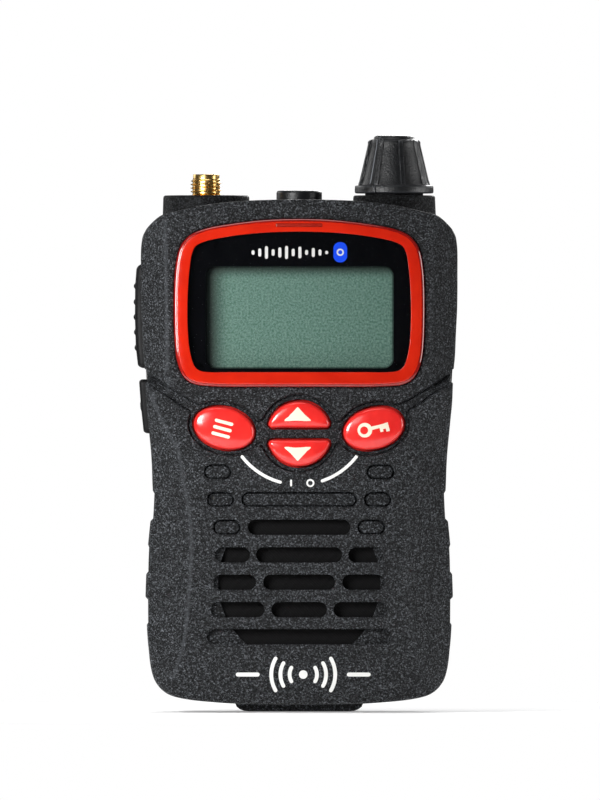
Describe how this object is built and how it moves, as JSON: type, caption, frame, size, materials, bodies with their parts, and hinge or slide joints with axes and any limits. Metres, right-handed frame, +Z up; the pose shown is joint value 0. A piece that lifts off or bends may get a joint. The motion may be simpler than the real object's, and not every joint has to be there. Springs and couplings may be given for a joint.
{
  "type": "handheld two-way radio",
  "caption": "Compact handheld two-way radio with display, front keys, side talk key, tuning knob, threaded antenna jack, lift-off battery and sprung belt clip.",
  "frame": {"origin": "centre of the flat foot on the bottom", "axes": "+X to the viewer's right when looking at the display, +Y back towards the belt clip, +Z up towards the knob"},
  "size_m": [0.0641, 0.0421, 0.114],
  "materials": {
    "case_plastic": "fine leather-like texture",
    "chassis_plastic": "fine texture",
    "seal_rubber": "smooth",
    "bezel_red": "polished",
    "window_clear": "polished",
    "window_black": "glossy print",
    "lcd_glass": "satin polariser",
    "backlight_white": "smooth",
    "light_pipe": "clear, polished",
    "cloth": "diagonal weave",
    "bare_steel": "nickel plated",
    "cone_paper": "pressed paper",
    "key_red": "glossy",
    "mat_rubber": "matte",
    "board": "solder mask",
    "gold_plate": "gold plated",
    "insulator_white": "smooth",
    "knob_plastic": "textured",
    "button_plastic": "smooth",
    "switch_black": "smooth",
    "side_key_rubber": "matte",
    "cover_rubber": "matte",
    "screw_steel": "blackened",
    "battery_plastic": "fine texture",
    "cell_wrap": "shrink wrap",
    "latch_plastic": "satin",
    "spring_steel": "bright wire",
    "clip_plastic": "satin"
  },
  "bodies": {
    "housing": {"front_case": "case_plastic", "rear_chassis": "chassis_plastic", "case_seal": "seal_rubber", "display_bezel": "bezel_red", "display_window": "window_clear", "window_mask": "window_black", "lcd_panel": "lcd_glass", "lcd_backlight": "backlight_white", "status_light_pipe": "light_pipe", "speaker_cloth": "cloth", "speaker_basket": "bare_steel", "speaker_cone": "cone_paper", "microphone": "bare_steel", "keypad_mat": "mat_rubber", "dome_switches": "bare_steel", "control_board": "board", "main_board": "board", "rf_shield": "bare_steel", "antenna_connector": "gold_plate", "antenna_insulator": "insulator_white", "antenna_contact": "gold_plate", "antenna_nut": "bare_steel", "encoder_body": "bare_steel", "encoder_nut": "bare_steel", "top_switch": "switch_black", "side_switches": "switch_black", "side_board": "board", "jack_block": "switch_black", "case_screws": "screw_steel", "spring_contacts": "gold_plate"},
    "menu_button": {"key_menu": "key_red"},
    "up_button": {"key_up": "key_red"},
    "down_button": {"key_down": "key_red"},
    "lock_button": {"key_lock": "key_red"},
    "talk_button": {"ptt_key": "side_key_rubber"},
    "monitor_button": {"monitor_key": "side_key_rubber"},
    "alert_button": {"top_button": "button_plastic"},
    "tuning_knob": {"knob": "knob_plastic", "encoder_shaft": "bare_steel"},
    "port_cover": {"jack_cover": "cover_rubber"},
    "battery_pack": {"battery_case": "battery_plastic", "battery_cover": "battery_plastic", "battery_cell": "cell_wrap", "battery_board": "board", "battery_contacts": "gold_plate", "latch_spring": "spring_steel", "clip_bracket": "clip_plastic", "clip_screws": "screw_steel", "clip_pin": "bare_steel", "clip_spring": "spring_steel"},
    "pack_latch": {"battery_latch": "latch_plastic"},
    "clip": {"belt_clip": "clip_plastic"}
  },
  "joints": [
    {"name": "menu_press", "type": "slide", "parent": "housing", "child": "menu_button", "axis": [0, 1, 0], "range_m": [0, 0.0006], "stiffness_N_per_m": 1200, "springref_m": -0.0002},
    {"name": "up_press", "type": "slide", "parent": "housing", "child": "up_button", "axis": [0, 1, 0], "range_m": [0, 0.0006], "stiffness_N_per_m": 1200, "springref_m": -0.0002},
    {"name": "down_press", "type": "slide", "parent": "housing", "child": "down_button", "axis": [0, 1, 0], "range_m": [0, 0.0006], "stiffness_N_per_m": 1200, "springref_m": -0.0002},
    {"name": "lock_press", "type": "slide", "parent": "housing", "child": "lock_button", "axis": [0, 1, 0], "range_m": [0, 0.0006], "stiffness_N_per_m": 1200, "springref_m": -0.0002},
    {"name": "talk_press", "type": "slide", "parent": "housing", "child": "talk_button", "axis": [1, 0, 0], "range_m": [0, 0.001], "stiffness_N_per_m": 1500, "springref_m": -0.0003},
    {"name": "monitor_press", "type": "slide", "parent": "housing", "child": "monitor_button", "axis": [1, 0, 0], "range_m": [0, 0.0008], "stiffness_N_per_m": 1500, "springref_m": -0.0003},
    {"name": "alert_press", "type": "slide", "parent": "housing", "child": "alert_button", "axis": [0, 0, -1], "range_m": [0, 0.0006], "stiffness_N_per_m": 1200, "springref_m": -0.0002},
    {"name": "tuning_turn", "type": "hinge", "parent": "housing", "child": "tuning_knob", "pos_m": [0.0188, 0.002, 0.1], "axis": [0, 0, 1], "continuous": true},
    {"name": "cover_swing", "type": "hinge", "parent": "housing", "child": "port_cover", "pos_m": [0.0306, 0.0001, 0.076], "axis": [0, 0, 1], "range_deg": [0, 90]},
    {"name": "pack_off", "type": "slide", "parent": "housing", "child": "battery_pack", "axis": [0, 1, 0], "range_m": [0, 0.015]},
    {"name": "latch_pull", "type": "slide", "parent": "battery_pack", "child": "pack_latch", "axis": [0, 1, 0], "range_m": [0, 0.002], "stiffness_N_per_m": 400, "springref_m": -0.001, "deforming": ["latch_spring"]},
    {"name": "clip_open", "type": "hinge", "parent": "battery_pack", "child": "clip", "pos_m": [0, 0.0215, 0.078], "axis": [1, 0, 0], "range_deg": [0, 14], "stiffness_Nm_per_rad": 0.15, "springref_deg": -28.65, "deforming": ["clip_spring"]}
  ]
}
